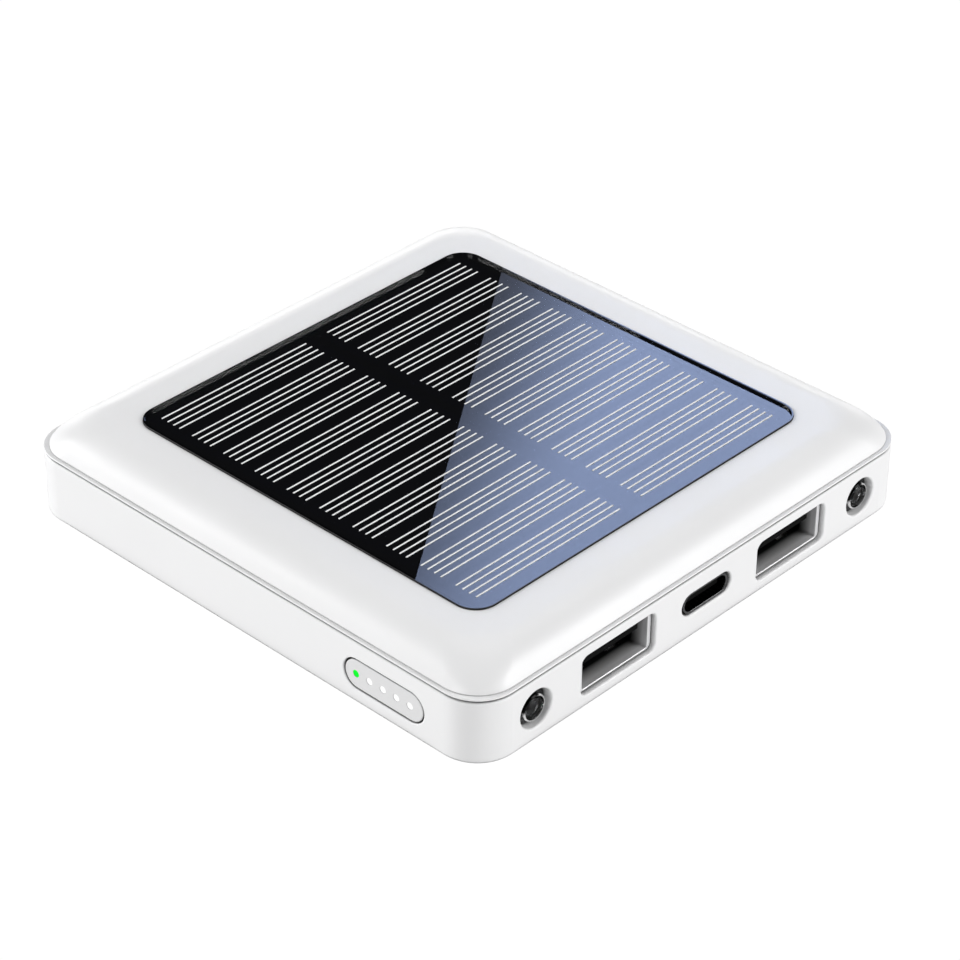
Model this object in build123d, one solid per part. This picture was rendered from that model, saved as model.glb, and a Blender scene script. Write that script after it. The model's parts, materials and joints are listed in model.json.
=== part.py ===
from build123d import *
from math import cos, radians, sin
import os

# Solar phone charger: a flat square power bank with a solar panel in its lid.
# Millimetres. Origin at the middle of the base, +Z up. The ports are on the -Y
# side and the power button is on the -X side.

# ---------------------------------------------------------------- housing sizes
BODY_SIDE = 86.0            # square plan, side length
CORNER_RADIUS = 6.0         # upright corners of the plan
COVER_TOP = 13.7            # flat top of the upper cover
WALL = 2.0                  # side walls of the lower cover
FLOOR = 1.5                 # base of the lower cover
SEAM_Z = 9.75               # height of the parting line, mid gap
SEAM_GAP = 0.36             # shadow gap between the covers
DOME_RADIUS = 6.25          # rounding of the upper cover
DOME_FLAT_HALF = 36.87      # half width of its flat top
DOME_STEPS = (27, 38, 49, 60, 70, 79, 85, 90)   # degrees up its rounding, from the lip to the top
LIP_BAND = 0.22             # thin lip round the foot of the dome
LIP_EDGE = 0.1              # rounding of its top edge
BASE_FILLET = 0.45
RIM_FILLET = 0.35           # upper outer edge of the lower cover
SKIRT_THICKNESS = 0.9       # upper cover's skirt, which seats in a rebate
REBATE_Z = 8.65
CEILING_Z = 11.05           # underside of the upper cover
COVER_INSET = 2.6           # outer face to inner face of the upper cover
SNAP_LENGTH = 12.0
SNAP_OFFSET = 22.0          # snap beads stand this far each side of the middle
SNAP_REACH = 0.25           # how far a bead stands out of the skirt
WIRE_SLOT = (-5.0, 5.0, -15.5, -11.5)   # in the lid under the panel: x from, x to, y from, y to
SHELL_STOP_Y = (-38.0, -31.0)           # posts in the lid that hold the USB-A shells down
SHELL_STOP_HALF = (5.0, 0.5)

# ---------------------------------------------------------------- solar panel sizes
PANEL_SIDE = 65.0
PANEL_RADIUS = 3.4
PANEL_RIM = 0.22            # raised black edge of the backsheet, round the glass
PANEL_RIM_TOP = 13.98
PANEL_EDGE = 0.03           # chamfer of the glass
PANEL_TOP = 14.0
PANEL_GAP = 0.06            # round the panel in its recess
RECESS_Z = 12.05
TAPE_THICKNESS = 0.15
BACKSHEET_THICKNESS = 1.2
CELL_THICKNESS = 0.2
LINE_THICKNESS = 0.05
LINE_WIDTH = 0.22
GLASS_LIFT = 0.01           # between the printed lines and the glass
CELL_ROWS = 10
LINES_PER_CELL = 4
CELL_PITCH = 6.21
LINE_PITCH = 1.19
CELL_DEPTH = 5.9
LINE_LENGTH = 27.3
COLUMN_CENTRES = (-15.78, 15.72)
FIRST_LINE_Y = 29.96
CELL_MARGIN = 1.4           # cell beyond the ends of its lines

# ---------------------------------------------------------------- port row sizes
USB_A_PLACES = (-17.08, 17.62)
USB_A_Z = 4.87
USB_A_CUTOUT = (14.2, 6.2)
USB_A_CUTOUT_RADIUS = 1.2
USB_A_OUTER = (13.2, 5.7)
USB_A_INNER = (12.5, 5.12)
USB_A_FRONT = -42.3
USB_A_BACK = -28.4
USB_A_TONGUE = (11.1, 1.84)
USB_A_TONGUE_FRONT = -41.4
USB_A_TONGUE_ROOT = -31.2
USB_A_TONGUE_TOP = USB_A_Z + USB_A_INNER[1] / 2 - 0.45
USB_A_CONTACTS = (-3.5, -1.0, 1.0, 3.5)
USB_A_CONTACT_HALF = 0.45
USB_A_FLARE = (13.8, 5.7)   # collar on the sides of the shell's mouth
USB_A_LATCHES = (-3.4, 3.4)
USB_A_EAR_Y = (-37.5, -31.0)
USB_C_X = 0.2
USB_C_Z = 5.35
USB_C_CUTOUT = (9.8, 3.4)
USB_C_OUTER = (8.94, 3.26)
USB_C_INNER = (8.34, 2.56)
USB_C_FRONT = -42.75
USB_C_BACK = -35.0
USB_C_TONGUE = (6.69, 0.7)
USB_C_TONGUE_FRONT = -42.0
USB_C_COLLAR_FRONT = -38.6
USB_C_ROOT = -37.0
USB_C_CONTACTS = [0.5 * i - 2.75 for i in range(12)]
USB_C_EAR_Y = (-40.0, -36.3)
LAMP_PLACES = (-32.6, 32.6)
LAMP_Z = 4.85
LAMP_HOLE_RADIUS = 2.85
LAMP_SEAT_Y = -41.6         # front of the lamp's bezel, down in its hole
LAMP_BEZEL_DEPTH = 0.5
LAMP_SLEEVE_RADIUS = 1.95
LAMP_SLEEVE_WALL = 0.22
LAMP_FRONT = -42.7
LAMP_BEVEL = 0.14
LAMP_LENS_FRONT = -42.75
LAMP_LENS_ROUND = 0.5
LAMP_ROOT_RADIUS = 2.4
LAMP_ROOT_BACK = -38.4
LAMP_HOLDER_RADIUS = 3.7
LAMP_CUP_DEPTH = 0.85       # mouth of the cup behind the lens front
LAMP_LEG_OFFSET = 1.27
LAMP_LEG_HALF = 0.25
LAMP_LEG_BACK = -35.6
PORT_EDGE_FILLET = 0.3

# ---------------------------------------------------------------- button sizes
BUTTON_HOLE_Y = -26.33
BUTTON_HOLE_Z = 4.55
BUTTON_Y = -26.28           # the cap sits low and a little back in its hole
BUTTON_Z = 4.48
BUTTON_SIZE = (13.9, 4.36)
BUTTON_FACE = -42.85        # set back a little from the side
BUTTON_GAP = 0.22
BUTTON_EDGE = 0.2
DOT_RADIUS = 0.545
PIN_RADIUS = 0.53
PIN_FACE = -42.8            # the pins end just below the cap's face
DOT_PITCH = 2.39
DOT_COUNT = 5
DOT_MIDDLE_Y = -26.1
DOT_Z = 4.5
FLANGE_FRONT = -40.9
FLANGE_BACK = -40.1
GUIDE_BACK = -39.5
FLANGE_SIZE = (15.8, 5.7)
SWITCH_PRESS_Z = 5.9        # height of the rib and of the switch plunger
RIB_BACK = -39.1
PLUNGER_FRONT = -39.05
SWITCH_FRONT = -37.9
SWITCH_BACK = -34.9
SWITCH_HEIGHT = 3.2

# ---------------------------------------------------------------- inside sizes
BOARD_BOTTOM = 2.7
BOARD_TOP = 3.7
BOARD_HALF_X = 38.9
BOARD_FRONT = -40.6
BOARD_BACK = -17.2
SCREW_PLACES = ((-30.5, -31.5), (30.5, -31.5), (-33.0, -19.6), (33.0, -19.6))
SCREW_RADIUS = 0.85
SCREW_HEAD = (1.6, 1.0)     # radius and height
BOSS_RADIUS = 2.2
BOSS_PILOT_Z = 0.6
BATTERY_HALF_X = 36.5
BATTERY_FRONT = -11.5
BATTERY_BACK = 39.5
BATTERY_BOTTOM = 1.75
BATTERY_TOP = 9.25
TAB_X = (-14.0, 14.0)
TAB_FRONT = -14.4
TAB_Z = (5.3, 5.5)
PROTECTION_HALF_X = 22.0
PROTECTION_Y = (-15.2, -12.2)
PROTECTION_TOP = 6.3
BATTERY_WIRE_X = 18.0
BATTERY_WIRE_RADIUS = 0.6
SOLAR_WIRE_X = 2.0
SOLAR_WIRE_RADIUS = 0.45
SOLAR_WIRE_FOOT_Y = -19.0
CELL_RIB_Y = -16.2          # ribs between the board and the cell
CELL_RIB_TOP = 6.0
CELL_RIB_X = (10.0, 38.0)   # each rib runs between these, on both sides of the middle

FRONT = -BODY_SIDE / 2      # outer face of the port side, and of the button side
INNER_FACE = FRONT + WALL


# ---------------------------------------------------------------- shape helpers
def block(x0, x1, y0, y1, z0, z1):
    """Box between two corners."""
    middle = ((x0 + x1) / 2, (y0 + y1) / 2, (z0 + z1) / 2)
    return Pos(*middle) * Box(x1 - x0, y1 - y0, z1 - z0)


def plate(side, radius, z0, z1):
    """Square plate with round corners, centred on the origin."""
    return Pos(0, 0, z0) * extrude(RectangleRounded(side, side, radius), z1 - z0)


def along_y(outline, x, z, front, back):
    """An outline in the port face, run from front to back."""
    return Pos(x, back, z) * extrude(Plane.XZ * outline, back - front)


def along_x(outline, y, z, front, back):
    """An outline in the button face, run inwards from front to back."""
    return Pos(front, y, z) * extrude(Plane.YZ * outline, back - front)


def disc_y(radius, x, z, front, back):
    return along_y(Circle(radius), x, z, front, back)


def edges_on_face(shape, axis, place):
    """Edges that lie wholly in the plane where the axis has this value."""
    return shape.edges().filter_by_position(axis, place - 0.001, place + 0.001)


def tube(points, radius, bends):
    """Wire with straight runs and tangent arcs."""
    path = FilletPolyline(*points, radius=bends)
    return sweep(path.location_at(0) * Circle(radius), path=path)


def dot_places():
    first = DOT_MIDDLE_Y + DOT_PITCH * (DOT_COUNT - 1) / 2
    return [first - DOT_PITCH * i for i in range(DOT_COUNT)]


# ---------------------------------------------------------------- housing
def snap_beads(outer, height, depth, z):
    """Two ridges on each side that hold the covers together."""
    bead = block(-SNAP_LENGTH / 2, SNAP_LENGTH / 2, outer - 0.2, outer + depth, z, z + height)
    ridges = Part()
    for turn in (0, 90, 180, 270):
        for offset in (-SNAP_OFFSET, SNAP_OFFSET):
            ridges += Rot(0, 0, turn) * Pos(offset, 0, 0) * bead
    return ridges


def lamp_holder(x):
    return disc_y(LAMP_HOLDER_RADIUS, x, LAMP_Z, INNER_FACE - 0.2, INNER_FACE + 2.4)


def port_cutouts():
    """Tools for the row of holes in the port face, from left to right."""
    back = INNER_FACE + 0.3
    usb_a = RectangleRounded(*USB_A_CUTOUT, USB_A_CUTOUT_RADIUS)
    usb_c = RectangleRounded(*USB_C_CUTOUT, USB_C_CUTOUT[1] / 2 - 0.001)
    tools = [along_y(usb_c, USB_C_X, USB_C_Z, FRONT - 1, back)]
    for x in USB_A_PLACES:
        tools.append(along_y(usb_a, x, USB_A_Z, FRONT - 1, back))
    for x in LAMP_PLACES:
        tools.append(disc_y(LAMP_HOLE_RADIUS, x, LAMP_Z, FRONT - 1, INNER_FACE + 3))
    return tools


def button_outline(grow):
    length = BUTTON_SIZE[0] + 2 * grow
    height = BUTTON_SIZE[1] + 2 * grow
    return RectangleRounded(length, height, height / 2 - 0.001)


def make_bottom_cover():
    rim = SEAM_Z - SEAM_GAP / 2
    shell = plate(BODY_SIDE, CORNER_RADIUS, 0, rim)
    shell = fillet(edges_on_face(shell, Axis.Z, 0), BASE_FILLET)
    shell = fillet(edges_on_face(shell, Axis.Z, rim), RIM_FILLET)
    shell -= plate(BODY_SIDE - 2 * WALL, CORNER_RADIUS - WALL, FLOOR, rim + 1)
    rebate = WALL - SKIRT_THICKNESS - 0.05
    shell -= plate(BODY_SIDE - 2 * rebate, CORNER_RADIUS - rebate, REBATE_Z, rim + 1)
    shell -= snap_beads(BODY_SIDE / 2 - rebate, 0.5, SNAP_REACH + 0.1, REBATE_Z + 0.2)
    for x in LAMP_PLACES:
        shell += lamp_holder(x)
    for tool in port_cutouts():
        shell -= tool
    front_edges = edges_on_face(shell, Axis.Y, FRONT)
    port_edges = [e for e in front_edges if e.center().Z < rim - 0.5 and abs(e.center().X) < 38]
    port_edges = [e for e in port_edges if e.center().Z > BASE_FILLET + 0.5]
    shell = fillet(port_edges, PORT_EDGE_FILLET)
    hole = along_x(button_outline(BUTTON_GAP), BUTTON_HOLE_Y, BUTTON_HOLE_Z, FRONT - 1, INNER_FACE + 0.5)
    shell -= hole
    side_edges = edges_on_face(shell, Axis.X, FRONT)
    hole_edges = [e for e in side_edges if 1.0 < e.center().Z < 8.0]
    shell = fillet(hole_edges, BUTTON_EDGE)
    for x, y in SCREW_PLACES:
        boss = Pos(x, y, FLOOR - 0.2) * extrude(Circle(BOSS_RADIUS), BOARD_BOTTOM - FLOOR + 0.2)
        pilot = Pos(x, y, BOSS_PILOT_Z) * extrude(Circle(SCREW_RADIUS), BOARD_BOTTOM)
        shell += boss
        shell -= pilot
    near, far = CELL_RIB_X
    for x0, x1 in ((-far, -near), (near, far)):
        shell += block(x0, x1, CELL_RIB_Y - 0.4, CELL_RIB_Y + 0.4, FLOOR - 0.2, CELL_RIB_TOP)
    return shell


def make_dome():
    """Rounded sides over one corner radius, from the lip up to the flat top."""
    sections = []
    for angle in DOME_STEPS:
        half = DOME_FLAT_HALF + DOME_RADIUS * cos(radians(angle))
        z = COVER_TOP - DOME_RADIUS * (1 - sin(radians(angle)))
        sections.append(Pos(0, 0, z) * RectangleRounded(2 * half, 2 * half, CORNER_RADIUS))
    foot_half = DOME_FLAT_HALF + DOME_RADIUS * cos(radians(DOME_STEPS[0]))
    foot_top = COVER_TOP - DOME_RADIUS * (1 - sin(radians(DOME_STEPS[0])))
    return plate(2 * foot_half, CORNER_RADIUS, SEAM_Z + SEAM_GAP, foot_top) + loft(sections)


def make_top_cover():
    band_top = SEAM_Z + SEAM_GAP / 2 + LIP_BAND
    band = plate(BODY_SIDE, CORNER_RADIUS, SEAM_Z + SEAM_GAP / 2, band_top)
    band = fillet(edges_on_face(band, Axis.Z, band_top), LIP_EDGE)
    skirt_side = BODY_SIDE - 2 * (WALL - SKIRT_THICKNESS)
    skirt_corner = CORNER_RADIUS - WALL + SKIRT_THICKNESS
    skirt = plate(skirt_side, skirt_corner, REBATE_Z, SEAM_Z + 0.3)
    skirt -= plate(BODY_SIDE - 2 * WALL, CORNER_RADIUS - WALL, REBATE_Z - 1, SEAM_Z + 1)
    cover = make_dome() + band
    inner_side = BODY_SIDE - 2 * COVER_INSET
    cavity = plate(inner_side, CORNER_RADIUS - COVER_INSET, REBATE_Z - 1, CEILING_Z)
    cavity = fillet(edges_on_face(cavity, Axis.Z, CEILING_Z), 0.8)
    cover -= cavity
    cover += skirt
    cover += snap_beads(skirt_side / 2, 0.4, SNAP_REACH, REBATE_Z + 0.25)
    recess = PANEL_SIDE + 2 * PANEL_GAP
    cover -= plate(recess, PANEL_RADIUS + PANEL_GAP, RECESS_Z, COVER_TOP + 1)
    cover -= block(*WIRE_SLOT, CEILING_Z - 1, RECESS_Z + 1)
    half_x, half_y = SHELL_STOP_HALF
    post_foot = USB_A_Z + USB_A_OUTER[1] / 2 + 0.1
    for x in USB_A_PLACES:
        for y in SHELL_STOP_Y:
            cover += block(x - half_x, x + half_x, y - half_y, y + half_y, post_foot, CEILING_Z + 0.3)
    return cover


# ---------------------------------------------------------------- solar panel
def make_panel_tape():
    """Double-sided tape frame under the panel, open round the wire slot."""
    outer = plate(61.0, 2.0, RECESS_Z, RECESS_Z + TAPE_THICKNESS)
    return outer - plate(40.0, 2.0, RECESS_Z - 1, RECESS_Z + 1)


def cell_bottom():
    return RECESS_Z + TAPE_THICKNESS + BACKSHEET_THICKNESS


def cell_blocks(grow):
    """Boxes of the two columns of ten strip cells, or of the pockets that hold them."""
    z0 = cell_bottom()
    half_length = LINE_LENGTH / 2 + CELL_MARGIN + grow
    half_depth = CELL_DEPTH / 2 + grow
    boxes = []
    for x in COLUMN_CENTRES:
        for row in range(CELL_ROWS):
            y = FIRST_LINE_Y - CELL_PITCH * row - LINE_PITCH * (LINES_PER_CELL - 1) / 2
            z1 = z0 + CELL_THICKNESS + grow
            boxes.append(block(x - half_length, x + half_length, y - half_depth, y + half_depth, z0, z1))
    return boxes


def make_panel_backsheet():
    """Black board with pockets for the cells and a narrow raised rim that frames the glass."""
    sheet = plate(PANEL_SIDE, PANEL_RADIUS, RECESS_Z + TAPE_THICKNESS, PANEL_RIM_TOP)
    well_side = PANEL_SIDE - 2 * PANEL_RIM
    well_bottom = cell_bottom() + CELL_THICKNESS
    sheet -= plate(well_side, PANEL_RADIUS - PANEL_RIM, well_bottom, PANEL_TOP)
    for pocket in cell_blocks(0.01):
        sheet -= pocket
    return sheet


def make_solar_cells():
    return Compound(children=cell_blocks(0))


def make_cell_lines():
    """Four printed silver lines along each strip cell."""
    z0 = cell_bottom() + CELL_THICKNESS
    half = LINE_LENGTH / 2
    lines = []
    for column in COLUMN_CENTRES:
        for row in range(CELL_ROWS):
            for line in range(LINES_PER_CELL):
                y = FIRST_LINE_Y - CELL_PITCH * row - LINE_PITCH * line
                y0 = y - LINE_WIDTH / 2
                y1 = y + LINE_WIDTH / 2
                lines.append(block(column - half, column + half, y0, y1, z0, z0 + LINE_THICKNESS))
    return Compound(children=lines)


def make_panel_glass():
    bottom = cell_bottom() + CELL_THICKNESS + LINE_THICKNESS + GLASS_LIFT
    inset = PANEL_RIM + 0.02
    glass = plate(PANEL_SIDE - 2 * inset, PANEL_RADIUS - inset, bottom, PANEL_TOP)
    return chamfer(edges_on_face(glass, Axis.Z, PANEL_TOP), PANEL_EDGE)


# ---------------------------------------------------------------- USB-A sockets
def make_usb_a_shell():
    """Drawn steel shell, closed at the back, with latch windows and solder ears."""
    outer = along_y(RectangleRounded(*USB_A_OUTER, 0.7), 0, USB_A_Z, USB_A_FRONT, USB_A_BACK)
    inner = along_y(RectangleRounded(*USB_A_INNER, 0.36), 0, USB_A_Z, USB_A_FRONT - 1, USB_A_BACK - 0.34)
    shell = outer - inner
    ring = along_y(RectangleRounded(*USB_A_FLARE, 0.8), 0, USB_A_Z, USB_A_FRONT, USB_A_FRONT + 0.3)
    shell += ring - inner
    shell = fillet(edges_on_face(shell, Axis.Y, USB_A_FRONT), 0.1)
    low = USB_A_Z - USB_A_OUTER[1] / 2 - 0.1
    high = USB_A_Z + USB_A_OUTER[1] / 2 + 0.1
    for x in USB_A_LATCHES:
        window = block(x - 1.3, x + 1.3, -39.2, -33.6, low, high)
        shell -= window
        for z, thick in ((USB_A_Z - USB_A_INNER[1] / 2, -0.3), (USB_A_Z + USB_A_INNER[1] / 2, 0.3)):
            z0 = min(z, z + thick)
            shell += block(x - 0.9, x + 0.9, -38.2, -33.5, z0, z0 + 0.3)
    side = USB_A_OUTER[0] / 2
    for x in (-side - 0.55, side + 0.55):
        for y in USB_A_EAR_Y:
            shell += block(x - 0.65, x + 0.65, y - 1.0, y + 1.0, BOARD_TOP, BOARD_TOP + 0.3)
    return shell


def make_usb_a_tongue():
    """Black plastic tongue in the upper half of the socket, with its back block."""
    width, height = USB_A_TONGUE
    under = USB_A_TONGUE_TOP - height
    root = USB_A_TONGUE_ROOT
    tongue = block(-width / 2, width / 2, USB_A_TONGUE_FRONT, root + 0.2, under, USB_A_TONGUE_TOP)
    tongue = chamfer(edges_on_face(tongue, Axis.Y, USB_A_TONGUE_FRONT), 0.25)
    tongue += along_y(RectangleRounded(*USB_A_INNER, 0.4), 0, USB_A_Z, root, USB_A_BACK - 0.36)
    groove = USB_A_CONTACT_HALF + 0.1
    for x in USB_A_CONTACTS:
        tongue -= block(x - groove, x + groove, USB_A_TONGUE_FRONT + 0.8, root, under - 0.1, under + 0.2)
    return tongue


def make_usb_a_contacts():
    """Four spring contacts under the tongue."""
    under = USB_A_TONGUE_TOP - USB_A_TONGUE[1]
    half = USB_A_CONTACT_HALF
    contacts = []
    for x in USB_A_CONTACTS:
        strip = block(x - half, x + half, -40.4, USB_A_TONGUE_ROOT - 0.05, under - 0.02, under + 0.16)
        crown = block(x - half, x + half, -39.6, -38.0, under - 0.3, under + 0.1)
        crown = fillet(edges_on_face(crown, Axis.Z, under - 0.3).filter_by(Axis.X), 0.25)
        contacts.append(strip + crown)
    return Compound(children=contacts)


# ---------------------------------------------------------------- USB-C socket
def stadium(size):
    return RectangleRounded(size[0], size[1], size[1] / 2 - 0.001)


def make_usb_c_shell():
    outer = along_y(stadium(USB_C_OUTER), 0, USB_C_Z, USB_C_FRONT, USB_C_BACK)
    inner = along_y(stadium(USB_C_INNER), 0, USB_C_Z, USB_C_FRONT - 1, USB_C_BACK - 0.3)
    shell = outer - inner
    shell = fillet(edges_on_face(shell, Axis.Y, USB_C_FRONT), 0.1)
    side = USB_C_OUTER[0] / 2
    for y in USB_C_EAR_Y:
        ear = block(side - 0.1, side + 0.8, y - 0.6, y + 0.6, BOARD_TOP + 1.4, BOARD_TOP + 1.7)
        ear += block(side + 0.5, side + 0.8, y - 0.6, y + 0.6, BOARD_TOP, BOARD_TOP + 1.7)
        shell += ear
        shell += mirror(ear, Plane.YZ)
    return shell


def make_usb_c_tongue():
    """Black tongue on the middle plane, with its collar and back block."""
    width, height = USB_C_TONGUE
    tongue = along_y(stadium(USB_C_TONGUE), 0, USB_C_Z, USB_C_TONGUE_FRONT, USB_C_ROOT)
    tongue = fillet(edges_on_face(tongue, Axis.Y, USB_C_TONGUE_FRONT), 0.12)
    collar = RectangleRounded(width, 1.7, 0.3)
    tongue += along_y(collar, 0, USB_C_Z, USB_C_COLLAR_FRONT, USB_C_ROOT + 0.2)
    plug = stadium((USB_C_INNER[0] - 0.04, USB_C_INNER[1] - 0.04))
    tongue += along_y(plug, 0, USB_C_Z, USB_C_ROOT, USB_C_BACK - 0.32)
    front = USB_C_TONGUE_FRONT + 0.3
    for x in USB_C_CONTACTS:
        for side in (-1, 1):
            z = USB_C_Z + side * height / 2
            tongue -= block(x - 0.14, x + 0.14, front, USB_C_COLLAR_FRONT, z - 0.06, z + 0.06)
    return tongue


def make_usb_c_contacts():
    """Twelve pads on each face of the tongue."""
    front = USB_C_TONGUE_FRONT + 0.32
    back = USB_C_COLLAR_FRONT - 0.02
    contacts = []
    for x in USB_C_CONTACTS:
        for side in (-1, 1):
            z = USB_C_Z + side * USB_C_TONGUE[1] / 2
            contacts.append(block(x - 0.13, x + 0.13, front, back, z - 0.05, z + 0.05))
    return Compound(children=contacts)


# ---------------------------------------------------------------- lamps
def make_lamp_bezel():
    """Black disc that closes the lamp hole round the sleeve."""
    back = LAMP_SEAT_Y + LAMP_BEZEL_DEPTH
    bezel = disc_y(LAMP_HOLE_RADIUS - 0.05, 0, LAMP_Z, LAMP_SEAT_Y, back)
    bezel = fillet(edges_on_face(bezel, Axis.Y, LAMP_SEAT_Y), 0.15)
    return bezel - disc_y(LAMP_SLEEVE_RADIUS, 0, LAMP_Z, LAMP_SEAT_Y - 1, back + 1)


def make_lamp_sleeve():
    """Polished sleeve round the lens, bevelled at its mouth."""
    back = LAMP_SEAT_Y + LAMP_BEZEL_DEPTH
    sleeve = disc_y(LAMP_SLEEVE_RADIUS, 0, LAMP_Z, LAMP_FRONT, back)
    sleeve = chamfer(edges_on_face(sleeve, Axis.Y, LAMP_FRONT), LAMP_BEVEL)
    return sleeve - disc_y(LAMP_SLEEVE_RADIUS - LAMP_SLEEVE_WALL, 0, LAMP_Z, LAMP_FRONT - 1, back + 1)


def make_lamp_cup():
    """Bright cup of the lead frame inside the lens."""
    mouth = LAMP_LENS_FRONT + LAMP_CUP_DEPTH
    well = mouth + 1.0
    foot = mouth + 1.5
    outside = ((0, foot), (0.8, foot), (1.45, mouth + 0.4), (1.45, mouth))
    inside = ((1.3, mouth), (0.7, well), (0, well))
    outline = Polyline(*outside, *inside, close=True)
    return Pos(0, 0, LAMP_Z) * revolve(make_face(outline), Axis.Y)


def make_lamp_lens():
    """Clear lens with a rounded front; its root widens behind the bezel."""
    bezel_back = LAMP_SEAT_Y + LAMP_BEZEL_DEPTH
    radius = LAMP_SLEEVE_RADIUS - LAMP_SLEEVE_WALL - 0.01
    lens = disc_y(radius, 0, LAMP_Z, LAMP_LENS_FRONT, bezel_back + 0.2)
    lens = fillet(edges_on_face(lens, Axis.Y, LAMP_LENS_FRONT), LAMP_LENS_ROUND)
    root = disc_y(LAMP_ROOT_RADIUS, 0, LAMP_Z, bezel_back, LAMP_ROOT_BACK)
    return lens + root - make_lamp_cup()


def make_lamp_leads():
    """Two legs that run back and turn down through the board."""
    legs = []
    half = LAMP_LEG_HALF
    back = LAMP_LEG_BACK
    for x in (-LAMP_LEG_OFFSET, LAMP_LEG_OFFSET):
        run = block(x - half, x + half, LAMP_ROOT_BACK, back, LAMP_Z - half, LAMP_Z + half)
        drop = block(x - half, x + half, back - 2 * half, back, BOARD_BOTTOM - 0.6, LAMP_Z + half)
        legs.append(run + drop)
    return Compound(children=legs)


# ---------------------------------------------------------------- power button
def make_power_button():
    """Push cap, its retaining flange and the rib that presses the switch."""
    cap = along_x(button_outline(0), BUTTON_Y, BUTTON_Z, BUTTON_FACE, FLANGE_FRONT + 0.2)
    cap = fillet(edges_on_face(cap, Axis.X, BUTTON_FACE), BUTTON_EDGE)
    flange_outline = RectangleRounded(*FLANGE_SIZE, 1.5)
    flange = along_x(flange_outline, BUTTON_Y, BUTTON_Z, FLANGE_FRONT, FLANGE_BACK)
    z = SWITCH_PRESS_Z
    rib = block(FLANGE_BACK - 0.1, RIB_BACK, BUTTON_Y - 1.2, BUTTON_Y + 1.2, z - 0.4, z + 0.6)
    button = cap + flange + rib
    for y in dot_places():
        button -= along_x(Circle(DOT_RADIUS), y, DOT_Z, FRONT - 1, FLANGE_BACK + 0.01)
    return button


def make_light_guide():
    """Five clear pins on one bar, which carry the indicator light to the face."""
    half = (DOT_COUNT - 1) * DOT_PITCH / 2 + 1.0
    guide = block(FLANGE_BACK, GUIDE_BACK, DOT_MIDDLE_Y - half, DOT_MIDDLE_Y + half, 3.8, 5.4)
    for y in dot_places():
        guide += along_x(Circle(PIN_RADIUS), y, DOT_Z, PIN_FACE, FLANGE_BACK + 0.1)
    return guide


def make_switch_plunger():
    z = SWITCH_PRESS_Z
    return block(PLUNGER_FRONT, SWITCH_FRONT + 0.6, BUTTON_Y - 1.0, BUTTON_Y + 1.0, z - 0.5, z + 0.5)


def make_switch_body():
    z = SWITCH_PRESS_Z
    top = BOARD_TOP + SWITCH_HEIGHT
    body = block(SWITCH_FRONT, SWITCH_BACK, BUTTON_Y - 2.2, BUTTON_Y + 2.2, BOARD_TOP, top)
    well = block(SWITCH_FRONT - 1, SWITCH_FRONT + 1.1, BUTTON_Y - 1.06, BUTTON_Y + 1.06, z - 0.56, z + 0.56)
    return body - well


def make_indicator_leds():
    leds = [block(-38.85, -38.05, y - 0.8, y + 0.8, BOARD_TOP, BOARD_TOP + 0.9) for y in dot_places()]
    return Compound(children=leds)


# ---------------------------------------------------------------- main board
def make_main_board():
    board = block(-BOARD_HALF_X, BOARD_HALF_X, BOARD_FRONT, BOARD_BACK, BOARD_BOTTOM, BOARD_TOP)
    board = chamfer(edges_on_face(board, Axis.Y, BOARD_FRONT).filter_by(Axis.Z), 2.0)
    notch = USB_A_OUTER[0] / 2 + 0.1
    for x in USB_A_PLACES:
        board -= block(x - notch, x + notch, BOARD_FRONT - 1, USB_A_BACK + 0.2, 0, 9)
    for x in LAMP_PLACES:
        board -= block(x - 3.9, x + 3.9, BOARD_FRONT - 1, -37.4, 0, 9)
        for leg in (x - LAMP_LEG_OFFSET, x + LAMP_LEG_OFFSET):
            board -= block(leg - 0.3, leg + 0.3, LAMP_LEG_BACK - 0.55, LAMP_LEG_BACK + 0.05, 0, 9)
    for x, y in SCREW_PLACES:
        board -= Pos(x, y, 0) * extrude(Circle(SCREW_RADIUS + 0.1), 9)
    return board


def make_board_screws():
    """Small pan-head screws with cross recesses."""
    screws = []
    for x, y in SCREW_PLACES:
        radius, height = SCREW_HEAD
        head = Pos(x, y, BOARD_TOP) * extrude(Circle(radius), height)
        head = fillet(edges_on_face(head, Axis.Z, BOARD_TOP + height), 0.4)
        shank = Pos(x, y, 0.9) * extrude(Circle(SCREW_RADIUS - 0.02), BOARD_TOP)
        slot = block(x - 0.95, x + 0.95, y - 0.2, y + 0.2, BOARD_TOP + 0.5, BOARD_TOP + 2)
        slot += block(x - 0.2, x + 0.2, y - 0.95, y + 0.95, BOARD_TOP + 0.5, BOARD_TOP + 2)
        shank &= block(x - 2, x + 2, y - 2, y + 2, 0.6, BOARD_TOP + 0.2)
        screws.append(head + shank - slot)
    return Compound(children=screws)


def on_board(x, y, size, edge=0.0):
    """A component standing on the board, with upright edges rounded."""
    body = Pos(x, y, BOARD_TOP) * extrude(Rectangle(size[0], size[1]), size[2])
    if edge:
        body = fillet(body.edges().filter_by(Axis.Z), edge)
    return body


def make_inductor():
    core = on_board(-11.5, -22.6, (7.2, 6.8, 3.0), 1.2)
    return chamfer(edges_on_face(core, Axis.Z, BOARD_TOP + 3.0), 0.4)


def make_controller_chip():
    return on_board(0.5, -28.0, (5.0, 5.0, 0.85))


def make_charger_chip():
    """Eight-lead chip that charges the cell from the panel."""
    chip = Pos(0, 0, 0.15) * on_board(13.0, -22.5, (3.9, 4.9, 1.3))
    for side in (-1, 1):
        for i in range(4):
            y = -22.5 + 1.27 * (i - 1.5)
            x = 13.0 + side * 2.4
            chip += block(x - 0.5, x + 0.5, y - 0.2, y + 0.2, BOARD_TOP, BOARD_TOP + 0.3)
    return chip


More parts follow.
